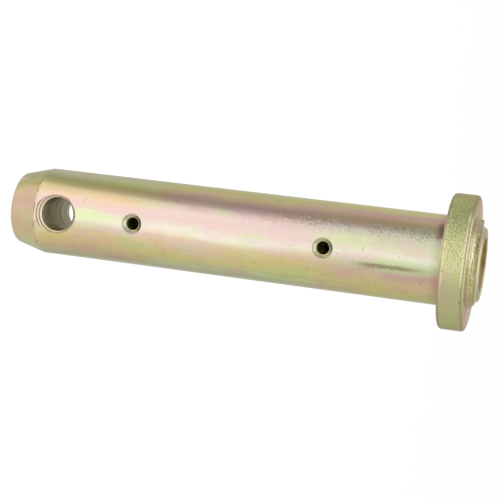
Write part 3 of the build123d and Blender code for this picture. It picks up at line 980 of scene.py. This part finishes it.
def nipple_material():
    material, shader, spot, surface = metal("plated nipple")
    marks = shader.noise(spot.place, 4000.0, 2.0, 0.6, squeeze=(0.05, 0.05, 1.0))
    stain = shader.noise(spot.place, 300.0, 3.0, 0.6)
    shader.feed(surface.inputs["Base Color"], shader.mix(stain, (0.80, 0.78, 0.70), (0.66, 0.66, 0.64)))
    surface.inputs["Roughness"].default_value = 0.26
    shader.feed(surface.inputs["Normal"], shader.bump(marks, 0.01 * MM, 0.8))
    return material


def ball_material():
    material, shader, spot, surface = metal("polished ball")
    smear = shader.noise(spot.place, 900.0, 2.0)
    shader.feed(surface.inputs["Base Color"], shader.mix(smear, (0.82, 0.82, 0.82), (0.72, 0.73, 0.75)))
    shader.feed(surface.inputs["Roughness"], shader.times(smear, 0.2))
    return material


def spring_material():
    material, shader, spot, surface = metal("spring wire")
    drawn = shader.noise(spot.place, 2500.0, 2.0)
    shader.feed(surface.inputs["Base Color"], shader.mix(drawn, (0.50, 0.50, 0.52), (0.36, 0.36, 0.38)))
    surface.inputs["Roughness"].default_value = 0.32
    shader.feed(surface.inputs["Normal"], shader.bump(drawn, 0.004 * MM, 0.6))
    return material


def spring_coil():
    """The check ball's spring, with ground ends: it shortens as the ball is pressed down."""
    length = spring_high[2] - spring_low[2]
    mesh = bmesh.new()
    rings = []
    for step in range(SPRING_COILS * STEPS_PER_COIL + 1):
        turn = 2.0 * pi * step / STEPS_PER_COIL
        height = spring_low[2] + length * step / (SPRING_COILS * STEPS_PER_COIL)
        ring = []
        for side in range(WIRE_SIDES):
            angle = 2.0 * pi * side / WIRE_SIDES
            out = SPRING_RADIUS + WIRE_RADIUS * cos(angle)
            up = clamped(height + WIRE_RADIUS * sin(angle), spring_low[2], spring_high[2])
            ring.append(mesh.verts.new((out * cos(turn), out * sin(turn), up)))
        rings.append(ring)
    join_rings(mesh, rings)
    mesh.faces.new(rings[0])
    mesh.faces.new(rings[-1])
    coil = smooth_piece("spring_coil", mesh, spring_material())
    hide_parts("nipple_spring")
    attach(coil, "pin")
    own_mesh(coil)


def dress(node, material):
    """Gives a CAD node its finish."""
    for slot in bpy.data.objects[node].material_slots:
        slot.material = material


# The studio

# What the metal mirrors: grey levels of the studio by bearing, close to the pin and far from it
STUDIO_CLOSE = [
    (-179.0, 0.85), (-158.0, 0.55), (-132.0, 0.50), (-106.0, 0.52), (-90.0, 0.42), (-76.0, 0.34),
    (-63.0, 0.44), (-50.0, 0.84), (-34.0, 1.0), (22.0, 1.0), (36.0, 0.83), (52.0, 0.74), (78.0, 0.63),
    (106.0, 0.52), (134.0, 0.43), (158.0, 0.52), (179.0, 0.85),
]
STUDIO_FAR = [
    (-179.0, 0.80), (-158.0, 0.56), (-132.0, 0.54), (-104.0, 0.51), (-82.0, 0.33), (-66.0, 0.34),
    (-46.0, 0.60), (-20.0, 0.82), (8.0, 0.90), (30.0, 0.66), (44.0, 0.58), (92.0, 0.55), (120.0, 0.50),
    (148.0, 0.46), (162.0, 0.52), (179.0, 0.80),
]
# What it mirrors overhead, by height
STUDIO_SKY = [(0.0, 0.50), (0.45, 0.46), (0.75, 0.55), (0.90, 0.90), (1.0, 1.0)]

# Distances from the pin between which the floor's light changes
LEANING = (0.40, 0.12)
FAR_AWAY = (0.35, 1.4)
BESIDE_NOSE = (58.0 * MM, 40.0 * MM)

STUDIO_MIDDLE = Vector((0.0, 0.0, 0.12))
FLOOR_REACH = 12.0
FLOOR_GREY = (0.9, 0.9, 0.9)
NOSE_SHADE_GREY = (0.56, 0.56, 0.56)
AMBIENT_GREY = (0.62, 0.62, 0.62)


def studio_level(shader, turn, far):
    close_level = shader.by_bearing(turn, STUDIO_CLOSE, "EASE")
    return shader.mix(far, close_level, shader.by_bearing(turn, STUDIO_FAR, "EASE"))


def seen_or_glazed(shader, rays):
    return shader.math("MAXIMUM", rays.outputs["Is Camera Ray"], rays.outputs["Is Transmission Ray"])


def floor_material():
    """White to the camera with a faint shadow, and to metal the studio's light and dark sides."""
    material = bpy.data.materials.new("studio floor")
    material.use_nodes = True
    tree = material.node_tree
    tree.nodes.clear()
    shader = Shader(tree)
    x, y, _ = shader.split(shader.add("ShaderNodeNewGeometry").outputs["Position"])
    distance = shader.distance(x, y)
    turn = shader.bearing(x, y, shader.times(shader.band(distance, *LEANING), 10.0))
    level = studio_level(shader, turn, shader.band(distance, *FAR_AWAY))
    # Painted shade: to metal the floor mirrors an even grey right beside the nose, on which the pin stands
    level = shader.tint(level, NOSE_SHADE_GREY, shader.band(distance, *BESIDE_NOSE), 0.7)
    mirrored = shader.add("ShaderNodeEmission", {"Color": level})
    matt = shader.add("ShaderNodeBsdfDiffuse", {"Color": FLOOR_GREY})
    white = shader.add("ShaderNodeEmission", {"Color": WHITE, "Strength": 1.05})
    rays = shader.add("ShaderNodeLightPath")
    seen = shader.add("ShaderNodeMixShader", {0: 0.88, 1: matt.outputs[0], 2: white.outputs[0]})
    by_camera = shader.add(
        "ShaderNodeMixShader", {0: seen_or_glazed(shader, rays), 1: matt.outputs[0], 2: seen.outputs[0]}
    )
    by_metal = shader.add(
        "ShaderNodeMixShader",
        {0: rays.outputs["Is Glossy Ray"], 1: by_camera.outputs[0], 2: mirrored.outputs[0]},
    )
    output = shader.add("ShaderNodeOutputMaterial")
    tree.links.new(by_metal.outputs[0], output.inputs["Surface"])
    return material


def studio_world():
    world = bpy.data.worlds.new("studio")
    world.use_nodes = True
    tree = world.node_tree
    tree.nodes.clear()
    shader = Shader(tree)
    rays = shader.add("ShaderNodeLightPath")
    x, y, z = shader.split(shader.add("ShaderNodeTexCoord").outputs["Generated"])
    horizon = studio_level(shader, shader.bearing(x, y), 1.0)
    sky = shader.mix(shader.band(z, 0.05, 0.30), horizon, shader.ramp(z, STUDIO_SKY))
    seen = shader.mix(seen_or_glazed(shader, rays), AMBIENT_GREY, WHITE)
    seen = shader.mix(rays.outputs["Is Glossy Ray"], seen, sky)
    background = shader.add("ShaderNodeBackground", {"Color": seen})
    output = shader.add("ShaderNodeOutputWorld")
    tree.links.new(background.outputs[0], output.inputs["Surface"])
    bpy.context.scene.world = world


def look_at(place, target, top):
    """Matrix of something at place that faces target, with its top towards top."""
    back = (place - target).normalized()
    side = top.cross(back).normalized()
    up = back.cross(side)
    return Matrix.Translation(place) @ Matrix((side, up, back)).transposed().to_4x4()


def softbox(name, place, size, power):
    light = bpy.data.lights.new(name, "AREA")
    light.size = size
    light.energy = power
    lamp = bpy.data.objects.new(name, light)
    lamp.matrix_world = look_at(Vector(place), STUDIO_MIDDLE, Vector((0.0, 0.0, 1.0)))
    lamp.visible_camera = False
    lamp.visible_glossy = False
    bpy.context.collection.objects.link(lamp)


def stage_floor():
    corners = [(x * FLOOR_REACH, y * FLOOR_REACH, 0) for x, y in ((-1, -1), (1, -1), (1, 1), (-1, 1))]
    mesh = bpy.data.meshes.new("floor")
    mesh.from_pydata(corners, [], [(0, 1, 2, 3)])
    floor = bpy.data.objects.new("floor", mesh)
    floor.data.materials.append(floor_material())
    bpy.context.collection.objects.link(floor)


def camera():
    lens = bpy.data.cameras.new("camera")
    lens.sensor_fit = "HORIZONTAL"
    lens.angle = radians(FIELD_OF_VIEW)
    lens.clip_start = 0.01
    lens.clip_end = 50.0
    body = bpy.data.objects.new("camera", lens)
    body.matrix_world = look_at(CAMERA_PLACE, CAMERA_TARGET, CAMERA_TOP)
    bpy.context.collection.objects.link(body)
    bpy.context.scene.camera = body


dress("pin_shaft", shank_material())
dress("head_collar", collar_material())
weld_bead()
dress("grease_nipple_body", nipple_material())
dress("nipple_check_ball", ball_material())
spring_coil()

studio_world()
stage_floor()
softbox("key", (-0.7, -0.5, 0.9), 0.6, 9.0)
softbox("fill", (0.8, -0.6, 0.7), 0.6, 4.0)
softbox("top", (0.1, 0.3, 1.1), 0.8, 6.0)
camera()
bpy.context.scene.view_settings.view_transform = "Standard"
